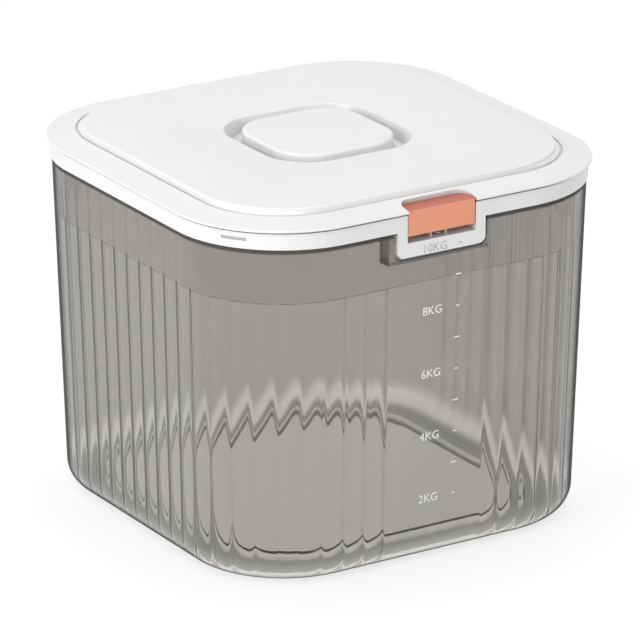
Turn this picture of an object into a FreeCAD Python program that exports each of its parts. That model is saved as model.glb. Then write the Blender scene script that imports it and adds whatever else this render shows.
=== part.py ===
import FreeCAD, Part
import math
import os

from FreeCAD import Vector

# A square storage bin for about 10 kg of rice. The clear container is fluted on its inside and
# carries a snapped-on collar. The collar carries the flip lid on two hinges at the back and a press
# latch at the front. A cap in the middle of the lid lifts out with the moisture absorber's cup.
# Millimetres, +Z up, the front towards -Y, the origin in the middle of the base.

# ---- outline of the lid, collar and container ----
LID_HALF = 135.0            # half of the width across the lip, the same both ways
LID_R = 69.0                # corner radius of the lip
LIP_OVERHANG = 1.8          # lip past the collar's skirt
SKIRT_PROUD = 0.8           # skirt past the container's shoulder
SKIRT_R_LESS = 0.5          # how much tighter the skirt's corners are than the lip's
BODY_TAPER = 5.4            # half-width that the container loses from its shoulder to its base
BODY_R_TAPER = 3.3          # corner radius that it loses
BASE_ROUNDING = 15.5        # rounding under the walls

# ---- heights of the container ----
SHOULDER_Z = 206.6          # top of the outer wall, where the rim steps in
BAND_HEIGHT = 33.2          # smooth band between the flutes' ledge and the shoulder
FLOOR = 3.2                 # floor thickness
PLATEAU_RISE = 5.0          # raised middle of the floor, hollow underneath
PLATEAU_INSET = 30.0        # its edge, from the outside of the base
PLATEAU_R = 45.0
PLATEAU_SLOPE = 3.0         # width of its sloping edge

# ---- walls of the container ----
WALL = 2.4                  # wall at the bottom of a flute
FLUTE_DEPTH = 1.2           # ridge between two flutes, above the wall
FLUTE_COUNT = 60
WINDOW_HALF = 32.3          # smooth strip in the middle of the front
RIM_WALL = 2.2
BAND_DRAFT = 0.1            # widening of the smooth band towards the rim

# ---- collar ----
SKIRT_GAP = 0.3             # between the shoulder and the skirt
SKIRT_HEIGHT = 9.5
SKIRT_WALL = 1.5
SKIRT_CLEAR = 0.2           # between the skirt and the rim
FLANGE = 1.6                # top of the collar
INNER_WALL = 1.5
INNER_DROP = 10.9           # inner wall below the collar's top
RIB_WALL = 1.2              # stiffening ribs under the flange
RIB_SPREAD = 44.0           # distance of a side's outer ribs from its middle
SNAP_ANGLE = 35.0           # direction of a snap, from the X axis round the corner's centre
SNAP_LENGTH = 15.0
SNAP_HEIGHT = 1.2
SNAP_DEPTH = 1.0            # tab past the rim
SNAP_CLEAR = 0.3
SNAP_DROP = 2.2             # snap's middle below the rim's top

# ---- lid ----
LID_GAP = 0.6               # parting line between the collar and the lip
LIP = 2.0                   # thickness at the lip
LIP_ROUNDING = 0.9
RIM_RISE = 0.8              # the rim climbs from the lip to the panel
PANEL_INSET = 0.1           # foot of the raised panel, inside the collar's mouth
PANEL_R_LESS = 0.8          # how much tighter its corners are than the mouth's
PANEL_RISE = 5.3
PANEL_LEAN = 1.8            # the panel's side leans in by this much
PANEL_R_GAIN = 8.0          # corner radius that it gains from its foot to its top
PANEL_ROUNDING = 3.0
COVER_WALL = 2.2
DISH_HALF = 47.8            # dish round the cap, at the panel's top
DISH_R = 29.0
DISH_LEAN = 3.8
DISH_DEPTH = 8.3
DISH_ROUNDING = 2.0
LINER_GAP = 1.2             # between the liner and the collar's mouth
LINER_WALL = 2.4
LINER_FLOOR = 2.0
LINER_DEPTH = 9.5           # liner below the lip
SEAT_GAP = 0.3              # liner inside the panel's side

# ---- gasket ----
GASKET_HEIGHT = 4.0
GASKET_DEPTH = 3.0          # depth of its groove
GASKET_UP = 1.8             # groove above the liner's bottom
GASKET_GAP = 0.3            # gasket to the mouth

# ---- liner screws ----
SCREW_INSET = 17.3          # screws, inside the liner's edge
SCREW_R = 1.5
SCREW_LENGTH = 10.0
SCREW_HEAD_R = 2.8
SCREW_HEAD = 1.8
SCREW_CLEAR = 0.1
SCREW_CUP_WALL = 1.6
BOSS_R = 3.4

# ---- cap, plug, ring and cup ----
CAP_SPACE = 8.7             # finger gap between the dish's edge and the cap
CAP_R_LESS = 4.0            # how much tighter the cap's corners are than the dish's
CAP_PROUD = 0.9             # cap above the panel
CAP_DRAFT = 0.5
CAP_WALL = 2.2
CAP_ROUNDING = 1.6
CAP_GAP = 0.3               # cap above the dish's floor
CAP_REST = 7.7              # cap's edge past the round well in the lid
WELL_WALL = 2.0
PLUG_GAP = 0.8              # plug's tube inside the well
PLUG_WALL = 3.0
PLUG_PLATE = 2.0
PLUG_LENGTH = 7.5           # tube below the plug's plate
RING_R = 1.0                # O-ring's section
RING_GAP = 0.3              # O-ring to the well
RING_GROOVE = 2.2           # groove's height
RING_DROP = 2.6             # groove's top below the plate
CAP_SCREW_INSET = 6.4       # cap's screws, inside the plug's tube
CAP_SCREW_R = 1.2
CAP_SCREW_LENGTH = 5.0
CAP_SCREW_HEAD_R = 2.1
CAP_SCREW_HEAD = 1.4
CAP_BOSS_R = 2.8
CUP_GAP = 0.3               # cup inside the plug's tube
CUP_WALL = 1.5
CUP_FLANGE = 2.0
CUP_HEIGHT = 5.2            # cup's wall above its flange
VENT_COUNT = 12
VENT_WIDTH = 2.0
VENT_HUB = 9.0              # plain middle of the cup's floor
VENT_RIM = 3.8              # plain edge of the cup's floor

# ---- hinges ----
HINGE_INSET = 21.0          # middle of a hinge, from where the corner starts
KNUCKLE_R = 2.9
HINGE_PIN_R = 1.2
RUN_CLEAR = 0.06            # running clearance of both kinds of pin
KNUCKLE = 8.0               # length of each knuckle
HINGE_CLEAR = 0.3           # between knuckles, and round them
HINGE_WIRE_R = 0.3
HINGE_TURNS = 4.5
HINGE_LEG = 2.9
HINGE_LEG_LEAN = 0.5        # room that a leg's slope takes

# ---- latch ----
BUTTON_HALF = 22.7
BUTTON_HEIGHT = 15.6
BUTTON_DEPTH = 12.0
BUTTON_CORNER_R = 7.0
BUTTON_WALL = 1.8
BUTTON_CLEAR = 0.4          # round the button
BUTTON_EDGE = 0.6           # rounding of its front edges
SWING_ROOM = 1.8            # room behind it for its swing
CHEEK_WALL = 2.0
CHEEK_INSET = 0.4           # cheeks inside the button's sides
SLOT_HEIGHT = 3.8           # room for the button's travel
SLOT_BAR = 8.5              # frame below the slot
FRAME_HALF = 29.7
FRAME_WALL = 2.0
FRAME_R = 4.0
HOUSING_WALL = 2.2
HOUSING_FLOOR = 2.2
HOUSING_CLEAR = 0.4         # housing's back to the pocket
LATCH_BACK = 8.6            # pin behind the frame's face
LATCH_PIN_R = 1.25
LATCH_BARREL_R = 2.7
LATCH_BARREL = 8.0          # length of the barrel at each cheek
LATCH_AXIS_UP = 3.1         # pin above the button's lower edge
LATCH_AXIS_GAP = 0.5        # barrel to the pocket
FIN_X = 5.0                 # guide fins either side of the spring
FIN_WALL = 0.8
FIN_BACK = 3.4              # fins behind the frame's face
FIN_DEPTH = 6.0
SPRING_BACK = 4.6           # spring's axis behind the frame's face
SPRING_R = 1.9
SPRING_WIRE_R = 0.3
SPRING_HEIGHT = 8.4
SPRING_TURNS = 4
SEAT_HALF = 3.6             # spring seat on the button
SEAT_WALL = 1.4
POCKET_MARGIN = 1.8         # container's pocket round the frame
POCKET_WALL = 2.4
POCKET_R = 5.0
NEST_GAP = 1.0              # pocket to the collar's inner wall
STRIKE_HALF = 9.0
STRIKE = 1.6
STRIKE_LEG = 5.0
STRIKE_CLEAR = 0.3

# ---- springs ----
COIL_STEPS = 12             # runs in one turn of a coil
WIRE_SIDES = 8

# ---- making ----
CUT_PAST = 1.0              # how far a cut starts outside the face that it opens

# ---- values worked out from those above ----
SKIRT_HALF = LID_HALF - LIP_OVERHANG
SKIRT_R = LID_R - SKIRT_R_LESS
BODY_TOP_HALF = SKIRT_HALF - SKIRT_PROUD
BODY_TOP_R = SKIRT_R - SKIRT_PROUD
BASE_HALF = BODY_TOP_HALF - BODY_TAPER
BASE_R = BODY_TOP_R - BODY_R_TAPER
PLATEAU_HALF = BASE_HALF - PLATEAU_INSET
RIM_HALF = SKIRT_HALF - SKIRT_WALL - SKIRT_CLEAR
RIM_R = SKIRT_R - SKIRT_WALL - SKIRT_CLEAR
LEDGE_Z = SHOULDER_Z - BAND_HEIGHT
SKIRT_Z = SHOULDER_Z + SKIRT_GAP
COLLAR_TOP_Z = SKIRT_Z + SKIRT_HEIGHT
RIM_TOP_Z = COLLAR_TOP_Z - FLANGE
FRONT_Y = -SKIRT_HALF
LATCH_Y = FRONT_Y + LATCH_BACK
POCKET_Y = LATCH_Y + LATCH_BARREL_R + LATCH_AXIS_GAP
MOUTH_HALF = -POCKET_Y - POCKET_WALL - NEST_GAP - INNER_WALL
MOUTH_R = SKIRT_R - (SKIRT_HALF - MOUTH_HALF)
LIP_Z = COLLAR_TOP_Z + LID_GAP
LIP_TOP_Z = LIP_Z + LIP
FOOT_Z = LIP_TOP_Z + RIM_RISE
PANEL_Z = FOOT_Z + PANEL_RISE
PANEL_HALF = MOUTH_HALF - PANEL_INSET
PANEL_FOOT_R = MOUTH_R - PANEL_R_LESS
PANEL_TOP_HALF = PANEL_HALF - PANEL_LEAN
PANEL_TOP_R = PANEL_FOOT_R + PANEL_R_GAIN
DISH_Z = PANEL_Z - DISH_DEPTH
LINER_HALF = MOUTH_HALF - LINER_GAP
LINER_R = MOUTH_R - LINER_GAP
LINER_Z = LIP_Z - LINER_DEPTH
COVER_ROOF_Z = PANEL_Z - COVER_WALL
GASKET_Z = LINER_Z + GASKET_UP
CAP_HALF = DISH_HALF - CAP_SPACE
CAP_R = DISH_R - CAP_R_LESS
CAP_Z = DISH_Z + CAP_GAP
CAP_TOP_Z = PANEL_Z + CAP_PROUD
PLATE_TOP_Z = CAP_Z + CAP_GAP + PLUG_PLATE
PLATE_Z = PLATE_TOP_Z - PLUG_PLATE
PLUG_Z = PLATE_Z - PLUG_LENGTH
WELL_R = CAP_HALF - CAP_REST
PLUG_R = WELL_R - PLUG_GAP
HINGE_X = LID_HALF - LID_R - HINGE_INSET
HINGE_Y = LID_HALF - KNUCKLE_R
HINGE_Z = LIP_Z - KNUCKLE_R - HINGE_CLEAR
KNUCKLE_MID = KNUCKLE + 2 * HINGE_CLEAR      # middle window of a hinge, to each side
BUTTON_TOP_Z = LIP_TOP_Z
BUTTON_Z = BUTTON_TOP_Z - BUTTON_HEIGHT
SLOT_Z = BUTTON_Z - SLOT_HEIGHT
FRAME_Z = SLOT_Z - SLOT_BAR
OPENING_HALF = BUTTON_HALF + BUTTON_CLEAR
NOTCH_Y = FRONT_Y + BUTTON_DEPTH + BUTTON_CLEAR
POCKET_HALF = FRAME_HALF + POCKET_MARGIN
POCKET_Z = FRAME_Z - POCKET_MARGIN
LATCH_Z = BUTTON_Z + LATCH_AXIS_UP
SPRING_Y = FRONT_Y + SPRING_BACK


# ---- basic solids ----
def outline(half, radius, z):
    """Closed wire of a square with round corners, centred on the Z axis."""
    straight = half - radius
    middle = straight + radius * math.sqrt(0.5)
    side = ((-straight, -half), (straight, -half), (middle, -middle), (half, -straight))
    edges = []
    for _ in range(4):
        start, bend, arc_middle, end = [Vector(x, y, z) for x, y in side]
        edges.append(Part.LineSegment(start, bend).toShape())
        edges.append(Part.Arc(bend, arc_middle, end).toShape())
        side = [(-y, x) for x, y in side]
    return Part.Wire(edges)


def slab(half, radius, z0, z1):
    """Upright prism with the round-cornered outline."""
    return Part.Face(outline(half, radius, z0)).extrude(Vector(0, 0, z1 - z0))


def taper(half0, radius0, z0, half1, radius1, z1):
    """Round-cornered block whose outline changes from one height to another."""
    return Part.makeLoft([outline(half0, radius0, z0), outline(half1, radius1, z1)], True, True)


def frame_ring(half, radius, wall, z0, z1):
    """Upright wall that follows the round-cornered outline, its outside at half."""
    return slab(half, radius, z0, z1).cut(slab(half - wall, radius - wall, z0, z1))


def block(x0, x1, y0, y1, z0, z1):
    return Part.makeBox(x1 - x0, y1 - y0, z1 - z0, Vector(x0, y0, z0))


def rod_x(x0, x1, y, z, radius):
    return Part.makeCylinder(radius, x1 - x0, Vector(x0, y, z), Vector(1, 0, 0))


def rod_z(x, y, z0, z1, radius):
    return Part.makeCylinder(radius, z1 - z0, Vector(x, y, z0))


def tube_z(z0, z1, outer, inner):
    return rod_z(0, 0, z0, z1, outer).cut(rod_z(0, 0, z0, z1, inner))


def upright_plate(half, y0, y1, z0, z1, corner):
    """Plate that faces front, with its two lower corners rounded."""
    plate = block(-half, half, y0, y1, z0, z1)
    lower = [e for e in plate.Edges if e.BoundBox.ZMax < z0 + 1e-3 and e.BoundBox.XLength < 1e-3]
    return plate.makeFillet(corner, lower)


def flat_plate(half, y0, y1, z0, z1, corner):
    """Level plate with its two back corners rounded."""
    plate = block(-half, half, y0, y1, z0, z1)
    back = [e for e in plate.Edges if e.BoundBox.YMin > y1 - 1e-3 and e.BoundBox.ZLength > 1e-3]
    return plate.makeFillet(corner, back)


def arc_block(centre_x, centre_y, inner, outer, angle, length, z0, z1):
    """Piece of a ring round a corner's centre, with its middle at the angle."""
    ring = rod_z(centre_x, centre_y, z0, z1, outer).cut(rod_z(centre_x, centre_y, z0, z1, inner))
    wedge = block(0, 2 * outer, -length / 2, length / 2, z0, z1)
    wedge.rotate(Vector(), Vector(0, 0, 1), angle)
    wedge.translate(Vector(centre_x, centre_y, 0))
    return ring.common(wedge)


def level_edges(shape, z, half=None):
    """Edges that lie level at a height, of one outline where its half-width is given."""
    picked = []
    for edge in shape.Edges:
        box = edge.BoundBox
        reach = max(abs(box.XMin), abs(box.XMax), abs(box.YMin), abs(box.YMax))
        level = abs(box.ZMin - z) < 1e-3 and abs(box.ZMax - z) < 1e-3
        if level and (half is None or abs(reach - half) < 1e-3):
            picked.append(edge)
    return picked


def coil(radius, wire_radius, height, turns, leg=0.0):
    """Coil that rises from the origin along Z, with a straight leg at either end: an eight-sided
    wire swept along short runs, mitred where they meet."""
    slope = math.atan2(height / turns, 2 * math.pi * radius)
    along = Vector(0, math.cos(slope), math.sin(slope))
    steps = round(COIL_STEPS * turns)
    path = []
    for step in range(steps + 1):
        turn = 2 * math.pi * turns * step / steps
        path.append(Vector(radius * math.cos(turn), radius * math.sin(turn), height * step / steps))
    if leg:
        turned = FreeCAD.Rotation(Vector(0, 0, 1), 360.0 * turns).multVec(along)
        path = [path[0] - along * leg] + path + [path[-1] + turned * leg]
    across = Vector(1, 0, 0)
    over = (path[1] - path[0]).normalize().cross(across)
    section = []
    for side in range(WIRE_SIDES + 1):
        turn = 2 * math.pi * side / WIRE_SIDES
        section.append(path[0] + across * (wire_radius * math.cos(turn))
                       + over * (wire_radius * math.sin(turn)))
    mitred = 1
    return Part.makePolygon(path).makePipeShell([Part.makePolygon(section)], True, False, mitred)


def pan_screw(radius, length, head_radius, head):
    """Screw that points up, with its head's bearing face at the origin's height."""
    return rod_z(0, 0, 0, length, radius).fuse(rod_z(0, 0, -head, 0, head_radius))


def place(shape, x, y, z):
    copy = shape.copy()
    copy.translate(Vector(x, y, z))
    return copy


def corner_snaps(inner, outer, length, height):
    """One arc block at each corner, a little towards the sides, at the snaps' height."""
    middle_z = RIM_TOP_Z - SNAP_DROP
    centre = SKIRT_HALF - SKIRT_R
    solids = []
    for side_x, side_y in ((1, 1), (-1, 1), (-1, -1), (1, -1)):
        angle = math.degrees(math.atan2(side_y * math.sin(math.radians(SNAP_ANGLE)),
                                        side_x * math.cos(math.radians(SNAP_ANGLE))))
        solids.append(arc_block(side_x * centre, side_y * centre, inner, outer, angle, length,
                                middle_z - height / 2, middle_z + height / 2))
    return solids


def hinge_span(side, start, end):
    """Span along X of a hinge's piece, on the right (1) or on the left (-1)."""
    return sorted((side * (HINGE_X + start), side * (HINGE_X + end)))


# ---- container ----
def climb(z):
    """Share of the outer wall's slope that lies below a height."""
    return (z - BASE_ROUNDING) / (SHOULDER_Z - BASE_ROUNDING)


def body_half(z):
    return BASE_HALF + BODY_TAPER * climb(z)


def body_radius(z):
    return BASE_R + BODY_R_TAPER * climb(z)


def outline_point(half, radius, run):
    """Point on the round-cornered outline and its outward direction, run along it from the front's
    middle towards +X."""
    straight = half - radius
    arc = math.pi / 2 * radius
    quarter = 2 * straight + arc
    turns, along = divmod(run, quarter)
    if along < straight:
        x, y, facing = along, -half, -90.0
    elif along < straight + arc:
        facing = -90.0 + 90.0 * (along - straight) / arc
        x = straight + radius * math.cos(math.radians(facing))
        y = -straight + radius * math.sin(math.radians(facing))
    else:
        x, y, facing = half, along - straight - arc - straight, 0.0
    turn = math.radians(90.0 * turns)
    facing = math.radians(facing) + turn
    return (x * math.cos(turn) - y * math.sin(turn),
            x * math.sin(turn) + y * math.cos(turn),
            math.cos(facing), math.sin(facing))


def flute_wire(z):
    """Inside of the wall at a height: a straight window in front, then one hollow per flute."""
    half = body_half(z) - WALL - FLUTE_DEPTH
    radius = body_radius(z) - WALL - FLUTE_DEPTH
    around = 8 * (half - radius) + 2 * math.pi * radius
    pitch = (around - 2 * WINDOW_HALF) / FLUTE_COUNT
    ridges = []
    hollows = []
    for index in range(FLUTE_COUNT + 1):
        x, y, _, _ = outline_point(half, radius, WINDOW_HALF + pitch * index)
        ridges.append(Vector(x, y, z))
        x, y, out_x, out_y = outline_point(half, radius, WINDOW_HALF + pitch * (index + 0.5))
        hollows.append(Vector(x + FLUTE_DEPTH * out_x, y + FLUTE_DEPTH * out_y, z))
    edges = [Part.LineSegment(ridges[-1], ridges[0]).toShape()]
    for index in range(FLUTE_COUNT):
        flute = Part.Arc(ridges[index], hollows[index], ridges[index + 1])
        edges.append(flute.toShape())
    return Part.Wire(edges)


def container_cavity():
    """Rounded foot, fluted middle and smooth band, widening upwards so that it can be moulded."""
    wall = WALL + FLUTE_DEPTH
    foot = slab(BASE_HALF - wall, BASE_R - wall, FLOOR, 2 * BASE_ROUNDING)
    foot = foot.makeFillet(BASE_ROUNDING - wall, level_edges(foot, FLOOR))
    fluted = Part.makeLoft([flute_wire(BASE_ROUNDING), flute_wire(LEDGE_Z)], True, True)
    top_half = RIM_HALF - RIM_WALL
    top_radius = RIM_R - RIM_WALL
    band = taper(top_half - BAND_DRAFT, top_radius - BAND_DRAFT, LEDGE_Z,
                 top_half, top_radius, RIM_TOP_Z)
    return foot.fuse([fluted, band])


def container():
    base = slab(BASE_HALF, BASE_R, 0, 2 * BASE_ROUNDING)
    base = base.makeFillet(BASE_ROUNDING, level_edges(base, 0))
    outer = taper(BASE_HALF, BASE_R, BASE_ROUNDING, BODY_TOP_HALF, BODY_TOP_R, SHOULDER_Z)
    outer = outer.fuse([base, slab(RIM_HALF, RIM_R, SHOULDER_Z, RIM_TOP_Z)])
    shell = outer.cut(container_cavity())

    # The floor's middle stands up, with a hollow of the same shape under it.
    floor_top = FLOOR + PLATEAU_RISE
    plateau = taper(PLATEAU_HALF + PLATEAU_SLOPE, PLATEAU_R + PLATEAU_SLOPE, FLOOR / 2,
                    PLATEAU_HALF, PLATEAU_R, floor_top)
    hollow = taper(PLATEAU_HALF, PLATEAU_R, 0,
                   PLATEAU_HALF - PLATEAU_SLOPE, PLATEAU_R - PLATEAU_SLOPE, PLATEAU_RISE)
    shell = shell.fuse(plateau).cut(hollow)

    # A pocket in the front wall takes the latch frame.
    bump = block(-POCKET_HALF - POCKET_WALL, POCKET_HALF + POCKET_WALL,
                 -LID_HALF, POCKET_Y + POCKET_WALL, POCKET_Z - POCKET_WALL, RIM_TOP_Z)
    pocket = upright_plate(POCKET_HALF, -LID_HALF, POCKET_Y, POCKET_Z, LIP_Z, POCKET_R)
    shell = shell.fuse(bump.common(outer)).cut(pocket)

    # Snap tabs at the corners, and gaps in the rim under the hinges.
    tabs = corner_snaps(RIM_R - RIM_WALL / 2, RIM_R + SNAP_DEPTH, SNAP_LENGTH, SNAP_HEIGHT)
    shell = shell.fuse(tabs)
    reach = KNUCKLE_MID + KNUCKLE + HINGE_CLEAR
    for side in (1, -1):
        x0, x1 = hinge_span(side, -reach, reach)
        shell = shell.cut(block(x0, x1, RIM_HALF - 2 * RIM_WALL, LID_HALF,
                                HINGE_Z - KNUCKLE_R - HINGE_CLEAR, LIP_Z))
    return shell


# ---- collar ----
def collar_ribs():
    """Thin webs under the flange, from the inner wall to just inside the rim."""
    inner = MOUTH_HALF + INNER_WALL
    outer = RIM_HALF - RIM_WALL - SKIRT_CLEAR
    bottom = COLLAR_TOP_Z - INNER_DROP + FLANGE
    ribs = []
    for shift in (-RIB_SPREAD, 0.0, RIB_SPREAD):
        low = shift - RIB_WALL / 2
        high = shift + RIB_WALL / 2
        ribs.append(block(inner - INNER_WALL / 2, outer, low, high, bottom, RIM_TOP_Z))
        ribs.append(block(-outer, -inner + INNER_WALL / 2, low, high, bottom, RIM_TOP_Z))
        ribs.append(block(low, high, inner - INNER_WALL / 2, outer, bottom, RIM_TOP_Z))
    for shift in (-RIB_SPREAD, RIB_SPREAD):
        ribs.append(block(shift - RIB_WALL / 2, shift + RIB_WALL / 2,
                          -outer, -inner + INNER_WALL / 2, bottom, RIM_TOP_Z))
    return ribs


def latch_housing():
    """Cheeks that hold the pin, a floor under the travel and two guide fins."""
    back = POCKET_Y - HOUSING_CLEAR
    outer = OPENING_HALF + HOUSING_WALL
    pieces = [block(-outer, outer, FRONT_Y, back, SLOT_Z - HOUSING_FLOOR, SLOT_Z)]
    for side in (1, -1):
        x0, x1 = sorted((side * OPENING_HALF, side * outer))
        pieces.append(block(x0, x1, FRONT_Y, back, SLOT_Z - HOUSING_FLOOR, RIM_TOP_Z))
        x0, x1 = sorted((side * (FIN_X - FIN_WALL / 2), side * (FIN_X + FIN_WALL / 2)))
        pieces.append(block(x0, x1, FRONT_Y + FIN_BACK, FRONT_Y + FIN_BACK + FIN_DEPTH,
                            SLOT_Z, BUTTON_Z - BUTTON_CLEAR))
    return pieces


def collar():
    skirt = frame_ring(SKIRT_HALF, SKIRT_R, SKIRT_WALL, SKIRT_Z, COLLAR_TOP_Z)
    flange = frame_ring(SKIRT_HALF, SKIRT_R, SKIRT_HALF - MOUTH_HALF, RIM_TOP_Z, COLLAR_TOP_Z)
    inner = frame_ring(MOUTH_HALF + INNER_WALL, MOUTH_R + INNER_WALL, INNER_WALL,
                       COLLAR_TOP_Z - INNER_DROP, COLLAR_TOP_Z)
    ring = skirt.fuse([flange, inner] + collar_ribs())

    # The latch breaks through the skirt and the flange, and its frame and housing hang below them.
    ring = ring.fuse(upright_plate(FRAME_HALF, FRONT_Y, FRONT_Y + FRAME_WALL, FRAME_Z, RIM_TOP_Z,
                                   FRAME_R))
    opening = block(-OPENING_HALF, OPENING_HALF, FRONT_Y - CUT_PAST, NOTCH_Y + SWING_ROOM,
                    SLOT_Z, COLLAR_TOP_Z + CUT_PAST)
    ring = ring.cut(opening).fuse(latch_housing())
    outer = OPENING_HALF + HOUSING_WALL + CUT_PAST
    ring = ring.cut(rod_x(-outer, outer, LATCH_Y, LATCH_Z, LATCH_PIN_R + RUN_CLEAR))
    strike_way = block(-STRIKE_HALF - STRIKE_CLEAR, STRIKE_HALF + STRIKE_CLEAR,
                       NOTCH_Y, -LINER_HALF, LIP_Z - STRIKE - 2 * STRIKE_CLEAR, LIP_Z)
    ring = ring.cut(strike_way)

    # Snap windows in the skirt.
    ring = ring.cut(corner_snaps(RIM_R, SKIRT_R + CUT_PAST, SNAP_LENGTH + 2 * SNAP_CLEAR,
                                 SNAP_HEIGHT + 2 * SNAP_CLEAR))

    # Each hinge has a knuckle at either end of a window for the lid's knuckle and the spring.
    swing = KNUCKLE_R + HINGE_CLEAR
    for side in (1, -1):
        x0, x1 = hinge_span(side, -KNUCKLE_MID, KNUCKLE_MID)
        window = block(x0, x1, HINGE_Y - swing, LID_HALF, HINGE_Z - swing, LIP_Z)
        for start in (-KNUCKLE_MID - KNUCKLE, KNUCKLE_MID):
            k0, k1 = hinge_span(side, start, start + KNUCKLE)
            ring = ring.fuse(rod_x(k0, k1, HINGE_Y, HINGE_Z, KNUCKLE_R))
        end = KNUCKLE_MID + KNUCKLE + CUT_PAST
        b0, b1 = hinge_span(side, -end, end)
        bore = rod_x(b0, b1, HINGE_Y, HINGE_Z, HINGE_PIN_R + RUN_CLEAR)
        ring = ring.cut([window, bore])
    return ring


# ---- hinge pins and springs ----
def hinge_pin(side):
    x0, x1 = hinge_span(side, -KNUCKLE_MID - KNUCKLE, KNUCKLE_MID + KNUCKLE)
    return rod_x(x0, x1, HINGE_Y, HINGE_Z, HINGE_PIN_R)


def hinge_spring(side):
    """Torsion spring beside the lid's knuckle, with one leg on the collar and one under the lid."""
    inset = 2 * HINGE_CLEAR + HINGE_WIRE_R + HINGE_LEG_LEAN
    length = KNUCKLE - 2 * (HINGE_WIRE_R + HINGE_LEG_LEAN)
    spring = coil(KNUCKLE_R - HINGE_WIRE_R, HINGE_WIRE_R, length, HINGE_TURNS, HINGE_LEG)
    spring.rotate(Vector(), Vector(0, 1, 0), 90)
    spring.translate(Vector(HINGE_X + inset, HINGE_Y, HINGE_Z))
    return spring if side > 0 else spring.mirror(Vector(), Vector(1, 0, 0))


# ---- lid ----
def screw_places():
    """Middles of the liner's screws: one at each corner and one at each side."""
    places = []
    corner = LINER_HALF - LINER_R + (LINER_R - SCREW_INSET) * math.sqrt(0.5)
    edge = LINER_HALF - SCREW_INSET
    for x, y in ((1, 1), (-1, 1), (-1, -1), (1, -1)):
        places.append((x * corner, y * corner))
    for x, y in ((1, 0), (0, 1), (-1, 0), (0, -1)):
        places.append((x * edge, y * edge))
    return places


def dish(offset, z0, z1):
    """Sloping dish round the cap, offset outwards, between two heights."""
    lean = DISH_LEAN / DISH_DEPTH
    half0 = DISH_HALF - lean * (PANEL_Z - z0) + offset
    half1 = DISH_HALF - lean * (PANEL_Z - z1) + offset
    step = DISH_HALF - DISH_R
    return taper(half0, half0 - step, z0, half1, half1 - step, z1)


def panel_inside(offset):
    """Space under the raised panel, offset inwards."""
    foot = COVER_WALL + offset
    return taper(PANEL_HALF - foot, PANEL_FOOT_R - foot, LIP_Z,
                 PANEL_TOP_HALF - foot, PANEL_TOP_R - foot, COVER_ROOF_Z)


def lid_cover():
    lip = slab(LID_HALF, LID_R, LIP_Z, LIP_TOP_Z)
    lip = lip.makeFillet(LIP_ROUNDING, level_edges(lip, LIP_TOP_Z))
    rim = taper(LID_HALF - LIP_ROUNDING, LID_R - LIP_ROUNDING, LIP_TOP_Z,
                PANEL_HALF, PANEL_FOOT_R, FOOT_Z)
    panel = taper(PANEL_HALF, PANEL_FOOT_R, FOOT_Z, PANEL_TOP_HALF, PANEL_TOP_R, PANEL_Z)
    panel = panel.makeFillet(PANEL_ROUNDING, level_edges(panel, PANEL_Z))
    cover = lip.fuse([rim, panel])

    # Hollow it from below, leaving the dish's underside, the well and the screw bosses.
    cover = cover.cut(panel_inside(0))
    inside = [dish(COVER_WALL, DISH_Z - COVER_WALL, COVER_ROOF_Z + COVER_WALL / 2),
              rod_z(0, 0, LINER_Z + LINER_FLOOR, DISH_Z, WELL_R + WELL_WALL)]
    boss_z = LINER_Z + LINER_FLOOR + SCREW_HEAD + SCREW_CLEAR
    for x, y in screw_places():
        inside.append(rod_z(x, y, boss_z, COVER_ROOF_Z + COVER_WALL / 2, BOSS_R))
    cover = cover.fuse(inside)
    bowl = dish(0, DISH_Z, PANEL_Z)
    bowl = bowl.makeFillet(DISH_ROUNDING, level_edges(bowl, DISH_Z))
    cover = cover.cut([bowl, rod_z(0, 0, LINER_Z, PANEL_Z, WELL_R)])
    for x, y in screw_places():
        cover = cover.cut(rod_z(x, y, boss_z, boss_z + SCREW_LENGTH, SCREW_R + SCREW_CLEAR))

    # Notch for the latch button.
    cover = cover.cut(flat_plate(OPENING_HALF, -LID_HALF - CUT_PAST, NOTCH_Y, LIP_Z, PANEL_Z,
                                 BUTTON_CORNER_R + BUTTON_CLEAR))

    # One knuckle per hinge, on a neck under the lip.
    for side in (1, -1):
        k0, k1 = hinge_span(side, -KNUCKLE - HINGE_CLEAR, -HINGE_CLEAR)
        knuckle = rod_x(k0, k1, HINGE_Y, HINGE_Z, KNUCKLE_R)
        neck = block(k0, k1, HINGE_Y - KNUCKLE_R, HINGE_Y + KNUCKLE_R, HINGE_Z, LIP_Z)
        cover = cover.fuse([knuckle, neck])
        cover = cover.cut(rod_x(k0, k1, HINGE_Y, HINGE_Z, HINGE_PIN_R + RUN_CLEAR))
    return cover


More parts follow.
